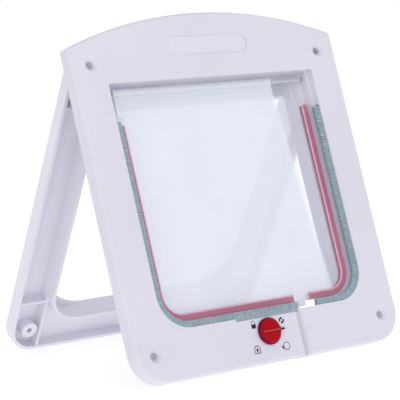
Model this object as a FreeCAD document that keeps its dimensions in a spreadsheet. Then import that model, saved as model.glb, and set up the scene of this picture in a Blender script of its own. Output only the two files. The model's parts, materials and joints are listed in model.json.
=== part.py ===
import FreeCAD, Part
import math
import os
import Sketcher

# Cat flap: an inner frame with a tunnel, a see-through swinging flap, a four-way lock
# and an outer frame, the two frames leaning together as an A.
# Each frame is drawn in its own upright plane: X to the right, Y into its depth, Z up.

doc = FreeCAD.newDocument("cat_flap")
sheet = doc.addObject("Spreadsheet::Sheet", "Sizes")

# Driving dimensions in millimetres and degrees
DIMENSIONS = {
    # Frames
    "frame_width": 196.0,
    "corner_height": 198.0,
    "arch_rise": 17.5,
    "foot_radius": 19.0,
    "tray_depth": 9.4,
    "face_wall": 2.5,
    "rim_wall": 2.2,
    "edge_bevel": 1.2,
    "rib_wall": 1.6,
    "hole_inset": 13.0,
    "hole_low": 16.0,
    "hole_drop": 11.0,
    "screw_bore": 2.3,
    "sink_radius": 4.2,
    "sink_angle": 45.0,
    "boss_radius": 5.4,
    "pilot_radius": 1.7,
    "pilot_depth": 6.3,
    "boss_proud": 0.1,
    # Opening, brush channel and tunnel of the inner frame
    "side_band": 22.0,
    "top_band": 23.0,
    "lip_low": 28.5,
    "lip_round": 20.5,
    "lip_depth": 1.2,
    "channel_reach": 2.2,
    "channel_depth": 3.0,
    "collar_wall": 1.2,
    "tunnel_step": 2.5,
    "tunnel_lift": 0.3,
    "tunnel_wall": 1.6,
    "tunnel_end": 29.6,
    # Details of the inner frame's face
    "badge_length": 61.0,
    "badge_height": 12.0,
    "badge_round": 5.9,
    "badge_drop": 20.3,
    "badge_depth": 0.6,
    "ramp_left": 19.6,
    "ramp_width": 5.0,
    "ramp_depth": 1.1,
    "notch_left": 25.0,
    "notch_right": 22.0,
    "notch_drop": 1.7,
    # Brush strips
    "brush_reach": 6.5,
    "brush_left_drop": 23.0,
    "brush_right_drop": 24.0,
    "brush_stop_gap": 2.2,
    "brush_restart_gap": 0.9,
    # Flap
    "hinge_drop": 4.6,
    "flap_side_gap": 2.3,
    "flap_rise": 4.8,
    "panel_thick": 2.0,
    "strip_thick": 3.6,
    "strip_width": 4.0,
    "strip_base": 0.8,
    "strip_left_drop": 24.0,
    "strip_right_drop": 21.0,
    "barrel_radius": 2.6,
    "rod_radius": 1.25,
    "rod_running": 0.06,
    "rod_stand_out": 1.5,
    "cap_radius": 2.8,
    "cap_length": 2.2,
    "cap_clearance": 0.3,
    "top_bar_drop": 4.9,
    "top_bar_thick": 2.8,
    "ear_drop": 2.7,
    "ear_height": 12.4,
    "ear_width": 6.2,
    "ear_thick": 4.2,
    "ear_round": 2.5,
    "end_gap": 0.3,
    # Catch nose on the flap
    "tab_left": 25.7,
    "tab_right": 38.0,
    "tab_height": 7.7,
    "tab_thick": 3.0,
    "nose_left": 28.2,
    "nose_right": 34.0,
    "nose_drop": 3.1,
    # Magnets
    "magnet_inset": 26.2,
    "magnet_length": 12.0,
    "magnet_height": 2.8,
    "magnet_thick": 3.6,
    "magnet_cheek": 1.6,
    # Lock knob
    "knob_offset": 3.4,
    "knob_drop": 10.2,
    "knob_radius": 8.1,
    "knob_height": 2.4,
    "knob_edge": 1.3,
    "knob_clearance": 0.3,
    "grip_width": 1.5,
    "grip_rise": 1.2,
    "grip_edge": 0.5,
    "nib_length": 2.9,
    "nib_width": 1.1,
    "journal_radius": 3.6,
    "journal_running": 0.08,
    "drive_square": 4.0,
    "drive_running": 0.05,
    "pin_screw_radius": 0.9,
    "pin_screw_length": 6.0,
    "pin_head_radius": 3.1,
    "pin_head_height": 0.9,
    # Pinion, rack and catch slider
    "gear_module": 0.6,
    "gear_teeth": 15.0,
    "gear_thick": 2.8,
    "gear_addendum": 1.0,
    "gear_dedendum": 1.25,
    "gear_backlash": 0.24,
    "rack_teeth": 13.0,
    "bar_left": 46.0,
    "slide_gap": 0.3,
    "web_thick": 1.5,
    "finger_height": 4.1,
    "finger_thick": 1.4,
    "rear_finger_thick": 2.0,
    "finger_gap": 0.5,
    "plate_thick": 0.9,
    "first_finger_right": 25.9,
    "first_finger_length": 2.5,
    "second_finger_right": 16.9,
    "second_finger_length": 3.0,
    "rear_finger_right": 24.3,
    "rear_finger_length": 8.1,
    "travel_back": 2.1,
    "travel_forward": 16.2,
    "post_width": 2.6,
    "post_height": 1.8,
    "second_post_place": 18.9,
    # Lock cover
    "cover_left": 38.0,
    "cover_right": 28.0,
    "cover_drop": 13.0,
    "cover_over": 0.4,
    "cover_air": 0.4,
    "cover_thick": 1.4,
    "cover_round": 3.0,
    "cover_rib": 1.2,
    "cover_screw_radius": 1.1,
    "cover_screw_length": 4.0,
    "cover_head_radius": 2.0,
    "cover_head_height": 0.9,
    "cover_boss_radius": 2.6,
    "cover_boss_under": 8.5,
    "cover_boss_spread": 28.0,
    "cover_boss_drop": 2.5,
    # Outer frame
    "outer_side_gap": 0.9,
    "outer_end_gap": 0.6,
    "outer_rim_wall": 2.0,
    "outer_rim_rise": 7.0,
    "outer_rib_pitch": 38.0,
    "low_rib_lift": 10.0,
    "mouth_round": 33.0,
    # How the two frames lean together
    "front_tilt": 16.64,
    "rear_tilt": 28.9,
    "rear_shift": 11.0,
    "lean_gap": 0.3,
}
for row, (alias, number) in enumerate(DIMENSIONS.items(), start=1):
    sheet.set(f"A{row}", alias)
    sheet.set(f"B{row}", str(number))
    sheet.setAlias(f"B{row}", alias)
doc.recompute()


class Size:
    """A length that knows its value and the sheet formula that gives it."""

    def __init__(self, value, formula):
        self.value = value
        self.formula = formula

    def __add__(self, other):
        other = as_size(other)
        return Size(self.value + other.value, f"({self.formula} + {other.formula})")

    def __sub__(self, other):
        other = as_size(other)
        return Size(self.value - other.value, f"({self.formula} - {other.formula})")

    def __mul__(self, other):
        other = as_size(other)
        return Size(self.value * other.value, f"({self.formula} * {other.formula})")

    def __truediv__(self, other):
        other = as_size(other)
        return Size(self.value / other.value, f"({self.formula} / {other.formula})")

    def __neg__(self):
        return Size(-self.value, f"(0 - {self.formula})")


def as_size(number):
    if isinstance(number, Size):
        return number
    return Size(float(number), f"({float(number)})")


def root(size):
    return Size(math.sqrt(size.value), f"sqrt({size.formula})")


def sine(angle):
    return Size(math.sin(math.radians(angle.value)), f"sin({angle.formula} * 1 deg)")


def cosine(angle):
    return Size(math.cos(math.radians(angle.value)), f"cos({angle.formula} * 1 deg)")


class Dimensions:
    """The sheet's cells as sizes, read by alias."""

    def __getattr__(self, alias):
        return Size(float(sheet.get(alias)), f"Sizes.{alias}")


d = Dimensions()
ZERO = as_size(0)


def bind(thing, prop, size):
    thing.setExpression(prop, as_size(size).formula)


# Sketch outlines
def sketch_at(body, name, depth, centre=(0, 0)):
    """A sketch in the upright plane at the given depth of the body, with its origin at a centre."""
    plane = next(f for f in body.Origin.OriginFeatures if f.Role == "XZ_Plane")
    sketch = body.newObject("Sketcher::SketchObject", name)
    sketch.AttachmentSupport = (plane, [""])
    sketch.MapMode = "FlatFace"
    offsets = (as_size(centre[0]), as_size(centre[1]), -as_size(depth))
    place = FreeCAD.Vector(*[offset.value for offset in offsets])
    sketch.AttachmentOffset = FreeCAD.Placement(place, FreeCAD.Rotation())
    for axis, offset in zip("xyz", offsets):
        bind(sketch, f"AttachmentOffset.Base.{axis}", offset)
    return sketch


def fix_point(sketch, geo, end, axis, size):
    """Hold one end of a line at a signed distance from the sketch's origin."""
    size = as_size(size)
    kind = "DistanceX" if axis == 0 else "DistanceY"
    index = sketch.addConstraint(Sketcher.Constraint(kind, -1, 1, geo, end, size.value))
    sketch.setExpression(f"Constraints[{index}]", size.formula)


def fix_radius(sketch, geo, size):
    index = sketch.addConstraint(Sketcher.Constraint("Radius", geo, size.value))
    sketch.setExpression(f"Constraints[{index}]", size.formula)


def draw_corners(sketch, corners):
    """Draw a closed outline of upright and level lines, given anticlockwise as (x, z, round)."""
    points = [(as_size(x), as_size(z), None if r is None else as_size(r)) for x, z, r in corners]
    count = len(points)
    places = [FreeCAD.Vector(x.value, z.value, 0) for x, z, _ in points]
    starts, ends = list(places), list(places)
    for i, (_, _, rounding) in enumerate(points):
        if rounding is None:
            continue
        into = (places[i] - places[i - 1]).normalize()
        away = (places[(i + 1) % count] - places[i]).normalize()
        ends[i] = places[i] - into * rounding.value
        starts[i] = places[i] + away * rounding.value
    lines = []
    for i in range(count):
        lines.append(sketch.addGeometry(Part.LineSegment(starts[i], ends[(i + 1) % count]), False))
    for i, (_, _, rounding) in enumerate(points):
        before, after = lines[i - 1], lines[i]
        if rounding is None:
            sketch.addConstraint(Sketcher.Constraint("Coincident", before, 2, after, 1))
            continue
        centre = ends[i] + starts[i] - places[i]
        arc = sketch.addGeometry(arc_through(centre, ends[i], starts[i], rounding.value), False)
        first, second = arc_ends(sketch, arc, ends[i])
        sketch.addConstraint(Sketcher.Constraint("Tangent", before, 2, arc, first))
        sketch.addConstraint(Sketcher.Constraint("Tangent", arc, second, after, 1))
        fix_radius(sketch, arc, rounding)
    for i in range(count):
        along = places[(i + 1) % count] - places[i]
        upright = abs(along.x) < abs(along.y)
        sketch.addConstraint(Sketcher.Constraint("Vertical" if upright else "Horizontal", lines[i]))
        fix_point(sketch, lines[i], 1, 0 if upright else 1, points[i][0 if upright else 1])


def arc_through(centre, start, finish, radius):
    """The short arc between two points about a centre."""
    circle = Part.Circle(centre, FreeCAD.Vector(0, 0, 1), radius)
    first = math.atan2(start.y - centre.y, start.x - centre.x)
    last = math.atan2(finish.y - centre.y, finish.x - centre.x)
    if (last - first) % (2 * math.pi) > math.pi:
        first, last = last, first
    return Part.ArcOfCircle(circle, first, first + (last - first) % (2 * math.pi))


def arc_ends(sketch, arc, near):
    """Which end of an arc lies at a point, and the other end."""
    at_start = sketch.Geometry[arc].StartPoint.distanceToPoint(near) < 1e-6
    return (1, 2) if at_start else (2, 1)


def draw_arch(sketch, left, right, radius):
    """The top arc, drawn from its right end to its left end."""
    drop = math.sqrt(radius.value ** 2 - (abs(right.x - left.x) / 2) ** 2)
    centre = FreeCAD.Vector((left.x + right.x) / 2, left.y - drop, 0)
    return sketch.addGeometry(arc_through(centre, right, left, radius.value), False)


def draw_circle(sketch, x, z, radius):
    x, z, radius = as_size(x), as_size(z), as_size(radius)
    circle = Part.Circle(FreeCAD.Vector(x.value, z.value, 0), FreeCAD.Vector(0, 0, 1), radius.value)
    geo = sketch.addGeometry(circle, False)
    fix_point(sketch, geo, 3, 0, x)
    fix_point(sketch, geo, 3, 1, z)
    fix_radius(sketch, geo, radius)


def draw_points(sketch, points):
    """Draw a closed outline through any points, each held from the origin."""
    sizes = [(as_size(x), as_size(z)) for x, z in points]
    places = [FreeCAD.Vector(x.value, z.value, 0) for x, z in sizes]
    lines = []
    for i, place in enumerate(places):
        follow = places[(i + 1) % len(places)]
        lines.append(sketch.addGeometry(Part.LineSegment(place, follow), False))
    for i, (x, z) in enumerate(sizes):
        sketch.addConstraint(Sketcher.Constraint("Coincident", lines[i - 1], 2, lines[i], 1))
        fix_point(sketch, lines[i], 1, 0, x)
        fix_point(sketch, lines[i], 1, 1, z)


# Outlines that come back on several pieces
def box_corners(left, right, low, high, rounding=None):
    return [(left, low, rounding), (right, low, rounding), (right, high, rounding), (left, high, rounding)]


def well_corners(half, low, high, rounding):
    """An opening with round lower corners and square upper ones."""
    return [(-half, low, rounding), (half, low, rounding), (half, high, None), (-half, high, None)]


ARCH_RADIUS = (d.frame_width * d.frame_width / 4 + d.arch_rise * d.arch_rise) / (d.arch_rise * 2)


def arch_level(x, inset):
    """Height of the arched top, or of its inside, at a distance from the middle."""
    radius = ARCH_RADIUS - inset
    centre = d.corner_height + d.arch_rise - ARCH_RADIUS
    return centre + root(radius * radius - x * x)


def frame_outline(inset=ZERO):
    """The frame's outline, drawn in by the inset: round feet, upright sides and the arc over the top."""
    def draw(sketch):
        half = d.frame_width / 2 - inset
        top = arch_level(half, inset)
        foot = d.foot_radius - inset
        x, z, level, bend = half.value, inset.value, top.value, foot.value
        place = FreeCAD.Vector
        left = sketch.addGeometry(Part.LineSegment(place(-x, level, 0), place(-x, z + bend, 0)), False)
        base = sketch.addGeometry(Part.LineSegment(place(-x + bend, z, 0), place(x - bend, z, 0)), False)
        right = sketch.addGeometry(Part.LineSegment(place(x, z + bend, 0), place(x, level, 0)), False)
        for before, after, side in ((left, base, -1), (base, right, 1)):
            circle = Part.Circle(place(side * (x - bend), z + bend, 0), place(0, 0, 1), bend)
            first = math.pi * (1.25 + side / 4)
            arc = sketch.addGeometry(Part.ArcOfCircle(circle, first, first + math.pi / 2), False)
            sketch.addConstraint(Sketcher.Constraint("Tangent", before, 2, arc, 1))
            sketch.addConstraint(Sketcher.Constraint("Tangent", arc, 2, after, 1))
            fix_radius(sketch, arc, foot)
        over = draw_arch(sketch, place(-x, level, 0), place(x, level, 0), ARCH_RADIUS - inset)
        sketch.addConstraint(Sketcher.Constraint("Coincident", right, 2, over, 1))
        sketch.addConstraint(Sketcher.Constraint("Coincident", over, 2, left, 1))
        sketch.addConstraint(Sketcher.Constraint("Vertical", left))
        sketch.addConstraint(Sketcher.Constraint("Vertical", right))
        sketch.addConstraint(Sketcher.Constraint("Horizontal", base))
        fix_point(sketch, left, 1, 0, -half)
        fix_point(sketch, left, 1, 1, top)
        fix_point(sketch, right, 2, 0, half)
        fix_point(sketch, right, 2, 1, top)
        fix_point(sketch, base, 1, 1, inset)
        fix_radius(sketch, over, ARCH_RADIUS - inset)
    return draw


# Features
bodies = []


def new_body(label):
    body = doc.addObject("PartDesign::Body", label)
    body.Label = label
    bodies.append(body)
    return body


def add(body, name, draw, near, far, centre=(0, 0)):
    """Pad an outline from the near depth to the far depth."""
    sketch = sketch_at(body, name + "_outline", near, centre)
    draw(sketch)
    pad = body.newObject("PartDesign::Pad", name)
    pad.Profile = sketch
    pad.Reversed = True
    bind(pad, "Length", as_size(far) - near)
    doc.recompute()
    return pad


def cut(body, name, draw, near, far, taper=None):
    """Pocket an outline from the near depth to the far depth."""
    before = body.Shape.Volume
    sketch = sketch_at(body, name + "_outline", near)
    draw(sketch)
    pocket = body.newObject("PartDesign::Pocket", name)
    pocket.Profile = sketch
    pocket.Type = "Length"
    bind(pocket, "Length", as_size(far) - near)
    if taper is not None:
        bind(pocket, "TaperAngle", taper)
    doc.recompute()
    if not body.Shape.Volume < before:
        raise RuntimeError(name + " cuts nothing")
    return pocket


def corners(outline):
    return lambda sketch: draw_corners(sketch, outline)


def circles(*places):
    def draw(sketch):
        for x, z, radius in places:
            draw_circle(sketch, x, z, radius)
    return draw


def outlines(*lists):
    def draw(sketch):
        for one in lists:
            draw_corners(sketch, one)
    return draw


def bevel_edges(body, name, feature, wanted, size):
    """Chamfer the edges of a feature that a test picks out."""
    edges = [f"Edge{i}" for i, edge in enumerate(feature.Shape.Edges, start=1) if wanted(edge)]
    bevel = body.newObject("PartDesign::Chamfer", name)
    bevel.Base = (feature, edges)
    bind(bevel, "Size", size)
    doc.recompute()
    return bevel


def edge_in_plane(axis, level, tolerance=1e-4):
    """A test for edges that lie wholly at one level of an axis."""
    def wanted(edge):
        box = edge.BoundBox
        low = (box.XMin, box.YMin, box.ZMin)[axis]
        high = (box.XMax, box.YMax, box.ZMax)[axis]
        return abs(low - level) < tolerance and abs(high - level) < tolerance
    return wanted


def across(body, name, draw):
    """A sketch in the body's middle plane, drawn as (depth, level)."""
    plane = next(f for f in body.Origin.OriginFeatures if f.Role == "YZ_Plane")
    sketch = body.newObject("Sketcher::SketchObject", name)
    sketch.AttachmentSupport = (plane, [""])
    sketch.MapMode = "FlatFace"
    draw(sketch)
    return sketch


def add_across(body, name, draw, half_length):
    """Pad an outline to both sides of the middle plane."""
    pad = body.newObject("PartDesign::Pad", name)
    pad.Profile = across(body, name + "_outline", draw)
    pad.Midplane = True
    bind(pad, "Length", half_length * 2)
    doc.recompute()
    return pad


def cut_across(body, name, draw, half_length):
    """Cut an outline through to both sides of the middle plane."""
    before = body.Shape.Volume
    pocket = body.newObject("PartDesign::Pocket", name)
    pocket.Profile = across(body, name + "_outline", draw)
    pocket.Type = "Length"
    pocket.Midplane = True
    bind(pocket, "Length", half_length * 2)
    doc.recompute()
    if not body.Shape.Volume < before:
        raise RuntimeError(name + " cuts nothing")
    return pocket


def cut_upright(body, name, draw, high):
    """Cut an outline drawn in the level plane as (x, depth), from the foot up to a height."""
    before = body.Shape.Volume
    plane = next(f for f in body.Origin.OriginFeatures if f.Role == "XY_Plane")
    sketch = body.newObject("Sketcher::SketchObject", name + "_outline")
    sketch.AttachmentSupport = (plane, [""])
    sketch.MapMode = "FlatFace"
    draw(sketch)
    pocket = body.newObject("PartDesign::Pocket", name)
    pocket.Profile = sketch
    pocket.Type = "Length"
    pocket.Reversed = True
    bind(pocket, "Length", high)
    doc.recompute()
    if not body.Shape.Volume < before:
        raise RuntimeError(name + " cuts nothing")
    return pocket


# Derived places shared by the pieces
HOLE_HALF = d.frame_width / 2 - d.hole_inset
HOLE_HIGH = d.corner_height - d.hole_drop
LIP_HALF = d.frame_width / 2 - d.side_band
LIP_HIGH = d.corner_height - d.top_band
TUNNEL_HALF = LIP_HALF - d.tunnel_step
TUNNEL_HIGH = LIP_HIGH + d.tunnel_lift
TUNNEL_ROUND = d.lip_round - d.tunnel_step
HINGE_LEVEL = TUNNEL_HIGH - d.hinge_drop
FLAP_HALF = TUNNEL_HALF - d.flap_side_gap
FLAP_LOW = d.lip_low + d.flap_rise
FLAP_ROUND = TUNNEL_ROUND - d.flap_side_gap
TAB_HIGH = FLAP_LOW + d.tab_height
KNOB_LEVEL = d.lip_low - d.knob_drop
BRUSH_STOP = d.tab_left - d.brush_stop_gap
BRUSH_RESTART = d.tab_right + d.brush_restart_gap
MAGNET_X = d.magnet_inset - FLAP_HALF
CHANNEL_FRONT = d.lip_depth
CHANNEL_BACK = d.lip_depth + d.channel_depth
COLLAR_BACK = CHANNEL_BACK + d.collar_wall
FLAP_DEPTH = COLLAR_BACK + d.cap_clearance + d.cap_radius
TUNNEL_OUT = TUNNEL_HALF + d.tunnel_wall
TUNNEL_TOP = TUNNEL_HIGH + d.tunnel_wall
TUNNEL_UNDER = d.lip_low - d.tunnel_wall
CHANNEL_HALF = LIP_HALF + d.channel_reach
CHANNEL_LOW = d.lip_low - d.channel_reach
CHANNEL_ROUND = d.lip_round + d.channel_reach
LEFT_BRUSH_TOP = LIP_HIGH - d.brush_left_drop
RIGHT_BRUSH_TOP = LIP_HIGH - d.brush_right_drop
BRUSH_TOP = LEFT_BRUSH_TOP + d.end_gap
COLLAR_TOP = BRUSH_TOP + d.collar_wall
PITCH_RADIUS = d.gear_module * d.gear_teeth / 2
PITCH_LEVEL = KNOB_LEVEL + PITCH_RADIUS
RACK_ROOT = PITCH_LEVEL + d.gear_module * d.gear_dedendum
BAR_TOP = CHANNEL_LOW - d.collar_wall - d.slide_gap
GEAR_FRONT = d.face_wall + d.slide_gap
GEAR_BACK = GEAR_FRONT + d.gear_thick
TAB_FRONT = FLAP_DEPTH - d.tab_thick / 2
TAB_BACK = FLAP_DEPTH + d.tab_thick / 2
WEB_FRONT = COLLAR_BACK + d.slide_gap
WEB_BACK = WEB_FRONT + d.web_thick
PLATE_LOW = d.lip_low + d.slide_gap
PLATE_HIGH = PLATE_LOW + d.plate_thick
COVER_FRONT = GEAR_BACK + d.pin_head_height + d.cover_air
COVER_BACK = COVER_FRONT + d.cover_thick
COVER_HIGH = PITCH_LEVEL + d.cover_over
COVER_BOSS_LEVEL = KNOB_LEVEL - d.cover_boss_under
KNOB_X = -d.knob_offset
SIDES = (-1, 1)
SCREW_PLACES = [(HOLE_HALF * side, level) for level in (d.hole_low, HOLE_HIGH) for side in SIDES]
COVER_BOSSES = [
    (KNOB_X - d.cover_boss_spread, COVER_BOSS_LEVEL),
    (KNOB_X, COVER_BOSS_LEVEL - d.cover_boss_drop),
    (KNOB_X + d.cover_boss_spread, COVER_BOSS_LEVEL),
]


# Inner frame
def rib_pair(half, low, high):
    """Two upright ribs, one each side."""
    return [box_corners(*sorted_pair(half * side, (half + d.rib_wall) * side), low, high) for side in SIDES]


def sorted_pair(first, second):
    return (first, second) if first.value < second.value else (second, first)


def level_pair(near, level):
    """Two level ribs from a distance off the middle out into the side walls."""
    reach = d.frame_width / 2 - d.rim_wall / 2
    return [box_corners(*sorted_pair(near * side, reach * side), level, level + d.rib_wall) for side in SIDES]


def make_inner_frame():
    body = new_body("inner_frame")
    face = add(body, "inner_face", frame_outline(), ZERO, d.tray_depth)
    bevel_edges(body, "inner_edge", face, edge_in_plane(1, 0.0), d.edge_bevel)
    cut(body, "inner_tray", frame_outline(d.rim_wall), d.face_wall, d.tray_depth)
    collar = corners(well_corners(CHANNEL_HALF + d.collar_wall, CHANNEL_LOW - d.collar_wall, COLLAR_TOP,
                                  CHANNEL_ROUND + d.collar_wall))
    add(body, "collar", collar, d.face_wall / 2, COLLAR_BACK)
    head = corners(well_corners(LIP_HALF + d.collar_wall, d.lip_low, TUNNEL_TOP, d.lip_round))
    add(body, "head_collar", head, d.face_wall / 2, COLLAR_BACK)
    tube = corners(well_corners(TUNNEL_OUT, TUNNEL_UNDER, TUNNEL_TOP, TUNNEL_ROUND + d.tunnel_wall))
    add(body, "tunnel", tube, d.face_wall, d.tunnel_end)
    ribs = rib_pair(TUNNEL_OUT - d.rib_wall, d.rim_wall / 2, TUNNEL_UNDER + TUNNEL_ROUND)
    top_ribs = rib_pair(TUNNEL_OUT - d.rib_wall, TUNNEL_TOP - d.tunnel_wall / 2,
                        arch_level(TUNNEL_OUT, d.rim_wall / 2))
    add(body, "inner_foot_ribs", outlines(*ribs), d.face_wall / 2, d.tray_depth)
    add(body, "inner_head_ribs", outlines(*top_ribs), d.face_wall / 2, d.tray_depth)
    low_sides = level_pair(TUNNEL_OUT - d.tunnel_wall / 2, CHANNEL_LOW + CHANNEL_ROUND)
    high_sides = level_pair(TUNNEL_OUT - d.tunnel_wall / 2, TUNNEL_TOP - d.rib_wall)
    add(body, "inner_side_ribs", outlines(*low_sides), d.face_wall / 2, d.tray_depth)
    add(body, "inner_high_side_ribs", outlines(*high_sides), d.face_wall / 2, d.tray_depth)
    inner_bosses = circles(*[(x, z, d.boss_radius) for x, z in SCREW_PLACES])
    add(body, "inner_bosses", inner_bosses, d.face_wall / 2, d.tray_depth)
    add(body, "cover_bosses", circles(*[(x, z, d.cover_boss_radius) for x, z in COVER_BOSSES]),
        d.face_wall / 2, COVER_FRONT)
    posts = [box_corners(x, x + d.post_width, PITCH_LEVEL - d.post_height - d.gear_module,
                         RACK_ROOT - d.slide_gap)
             for x in (-d.bar_left + d.travel_forward, d.second_post_place)]
    add(body, "rack_posts", outlines(*posts), d.face_wall / 2, GEAR_BACK)
    cheek_places = (MAGNET_X - d.magnet_length / 2 - d.magnet_cheek, MAGNET_X + d.magnet_length / 2)
    cheek_levels = (TUNNEL_UNDER - d.magnet_height, TUNNEL_UNDER + d.tunnel_wall / 2)
    cheeks = [box_corners(x, x + d.magnet_cheek, *cheek_levels) for x in cheek_places]
    add(body, "magnet_cheeks", outlines(*cheeks), FLAP_DEPTH - d.magnet_thick / 2,
        FLAP_DEPTH + d.magnet_thick / 2)
    cut(body, "lip", corners(well_corners(LIP_HALF, d.lip_low, LIP_HIGH, d.lip_round)), ZERO, CHANNEL_BACK)
    cut(body, "channel", corners(well_corners(CHANNEL_HALF, CHANNEL_LOW, BRUSH_TOP, CHANNEL_ROUND)),
        CHANNEL_FRONT, CHANNEL_BACK)
    cut(body, "passage", corners(well_corners(TUNNEL_HALF, d.lip_low, TUNNEL_HIGH, TUNNEL_ROUND)),
        CHANNEL_BACK, d.tunnel_end)
    notch = box_corners(-d.notch_left, d.notch_right, d.lip_low - d.notch_drop, d.lip_low + d.lip_depth)
    cut(body, "notch", corners(notch), ZERO, CHANNEL_FRONT)
    slot = box_corners(d.second_finger_right - d.second_finger_length - d.travel_back - d.finger_gap,
                       d.first_finger_right + d.travel_forward + d.finger_gap,
                       TUNNEL_UNDER - d.tunnel_wall, d.lip_low + d.tunnel_wall)
    cut(body, "finger_slot", corners(slot), COLLAR_BACK, WEB_BACK + d.slide_gap)
    cut_across(body, "rod_holes", circles((FLAP_DEPTH, HINGE_LEVEL, d.rod_radius)), TUNNEL_OUT)
    cut(body, "screw_bores", circles(*[(x, z, d.screw_bore) for x, z in SCREW_PLACES]), ZERO, d.tray_depth)
    cut(body, "screw_sinks", circles(*[(x, z, d.sink_radius) for x, z in SCREW_PLACES]), ZERO,
        d.sink_radius - d.screw_bore, -d.sink_angle)
    cut(body, "cover_pilots", circles(*[(x, z, d.cover_screw_radius) for x, z in COVER_BOSSES]),
        COVER_BACK - d.cover_screw_length, COVER_FRONT)
    cut(body, "knob_hole", circles((KNOB_X, KNOB_LEVEL, d.journal_radius + d.journal_running)),
        ZERO, d.face_wall)
    badge_level = d.corner_height + d.arch_rise - d.badge_drop
    badge = box_corners(-d.badge_length / 2, d.badge_length / 2, badge_level - d.badge_height / 2,
                        badge_level + d.badge_height / 2, d.badge_round)
    cut(body, "badge_recess", corners(badge), ZERO, d.badge_depth)
    ramp = [(d.ramp_left, ZERO), (d.ramp_left + d.ramp_width, ZERO), (d.ramp_left, d.ramp_depth)]
    cut_upright(body, "ramp", lambda sketch: draw_points(sketch, ramp), d.lip_low + d.lip_depth)
    return body


# Outer frame, drawn with its outside face at depth zero and its inside towards negative depths
OUTER_HALF = TUNNEL_OUT + d.outer_side_gap
OUTER_LOW = TUNNEL_UNDER - d.outer_end_gap
OUTER_HIGH = TUNNEL_TOP + d.outer_end_gap
OUTER_ROUND = TUNNEL_ROUND + d.tunnel_wall + d.outer_side_gap
RIM_TOP = OUTER_HIGH + d.outer_rim_wall


def make_outer_frame():
    body = new_body("outer_frame")
    face = add(body, "outer_face", frame_outline(), -d.tray_depth, ZERO)
    bevel_edges(body, "outer_edge", face, edge_in_plane(1, 0.0), d.edge_bevel)
    cut(body, "outer_tray", frame_outline(d.rim_wall), -d.tray_depth, -d.face_wall)
    rim = well_corners(OUTER_HALF + d.outer_rim_wall, OUTER_LOW - d.outer_rim_wall, RIM_TOP,
                       OUTER_ROUND + d.outer_rim_wall)
    add(body, "rim", corners(rim), -(d.tray_depth + d.outer_rim_rise), -d.face_wall / 2)
    foot_ribs = rib_pair(OUTER_HALF, d.rim_wall / 2, OUTER_LOW + OUTER_ROUND)
    add(body, "outer_foot_ribs", outlines(*foot_ribs), -d.tray_depth, -d.face_wall / 2)
    head_places = [as_size(0), d.outer_rib_pitch, -d.outer_rib_pitch, OUTER_HALF, -OUTER_HALF]
    head_ribs = [box_corners(x - d.rib_wall / 2, x + d.rib_wall / 2, OUTER_HIGH + d.outer_rim_wall / 2,
                             arch_level(x, d.rim_wall / 2)) for x in head_places]
    add(body, "outer_head_ribs", outlines(*head_ribs), -d.tray_depth, -d.face_wall / 2)
    low_sides = level_pair(OUTER_HALF - d.outer_rim_wall, OUTER_LOW + d.low_rib_lift)
    high_sides = level_pair(OUTER_HALF + d.outer_rim_wall / 2, OUTER_HIGH)
    for name, sides in (("low", low_sides), ("high", high_sides)):
        add(body, f"outer_{name}_side_ribs", outlines(*sides), -d.tray_depth, -d.face_wall / 2)
    boss_top = -(d.tray_depth + d.boss_proud)
    add(body, "outer_bosses", circles(*[(x, z, d.boss_radius) for x, z in SCREW_PLACES]),
        boss_top, -d.face_wall / 2)
    cut(body, "doorway", corners(well_corners(OUTER_HALF, OUTER_LOW, OUTER_HIGH, OUTER_ROUND)),
        -(d.tray_depth + d.outer_rim_rise), -d.face_wall)
    cut(body, "doorway_mouth", corners(well_corners(OUTER_HALF, OUTER_LOW, OUTER_HIGH, d.mouth_round)),
        -d.face_wall, ZERO)
    cut(body, "pilot_holes", circles(*[(x, z, d.pilot_radius) for x, z in SCREW_PLACES]),
        boss_top, boss_top + d.pilot_depth)
    return body


# Brush strips and the flap's edge strips: bands that follow the round lower corners
def left_band(half, low, rounding, width, top, stop):
    return [
        (-half, top, None), (-half, low, rounding), (stop, low, None), (stop, low + width, None),
        (-(half - width), low + width, rounding - width), (-(half - width), top, None),
    ]


def right_band(half, low, rounding, width, top, start):
    return [
        (start, low, None), (half, low, rounding), (half, top, None), (half - width, top, None),
        (half - width, low + width, rounding - width), (start, low + width, None),
    ]


def make_brushes():
    shape = (CHANNEL_HALF, CHANNEL_LOW, CHANNEL_ROUND, d.brush_reach)
    long_strip = new_body("brush_strip_long")
    add(long_strip, "long_pile", corners(left_band(*shape, LEFT_BRUSH_TOP, BRUSH_STOP)),
        CHANNEL_FRONT, CHANNEL_BACK)
    short_strip = new_body("brush_strip_short")
    add(short_strip, "short_pile", corners(right_band(*shape, RIGHT_BRUSH_TOP, BRUSH_RESTART)),
        CHANNEL_FRONT, CHANNEL_BACK)


LEFT_STRIP_TOP = LIP_HIGH - d.strip_left_drop
RIGHT_STRIP_TOP = LIP_HIGH - d.strip_right_drop
STRIP_SHAPE = (FLAP_HALF, FLAP_LOW, FLAP_ROUND, d.strip_width)
STRIP_FRONT = FLAP_DEPTH - d.strip_thick / 2
STRIP_BACK = FLAP_DEPTH + d.strip_thick / 2
PANEL_FRONT = FLAP_DEPTH - d.panel_thick / 2
PANEL_BACK = FLAP_DEPTH + d.panel_thick / 2
PANEL_HALF = FLAP_HALF - d.strip_base
PANEL_LOW = FLAP_LOW + d.strip_base
PANEL_ROUND = FLAP_ROUND - d.strip_base


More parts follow.
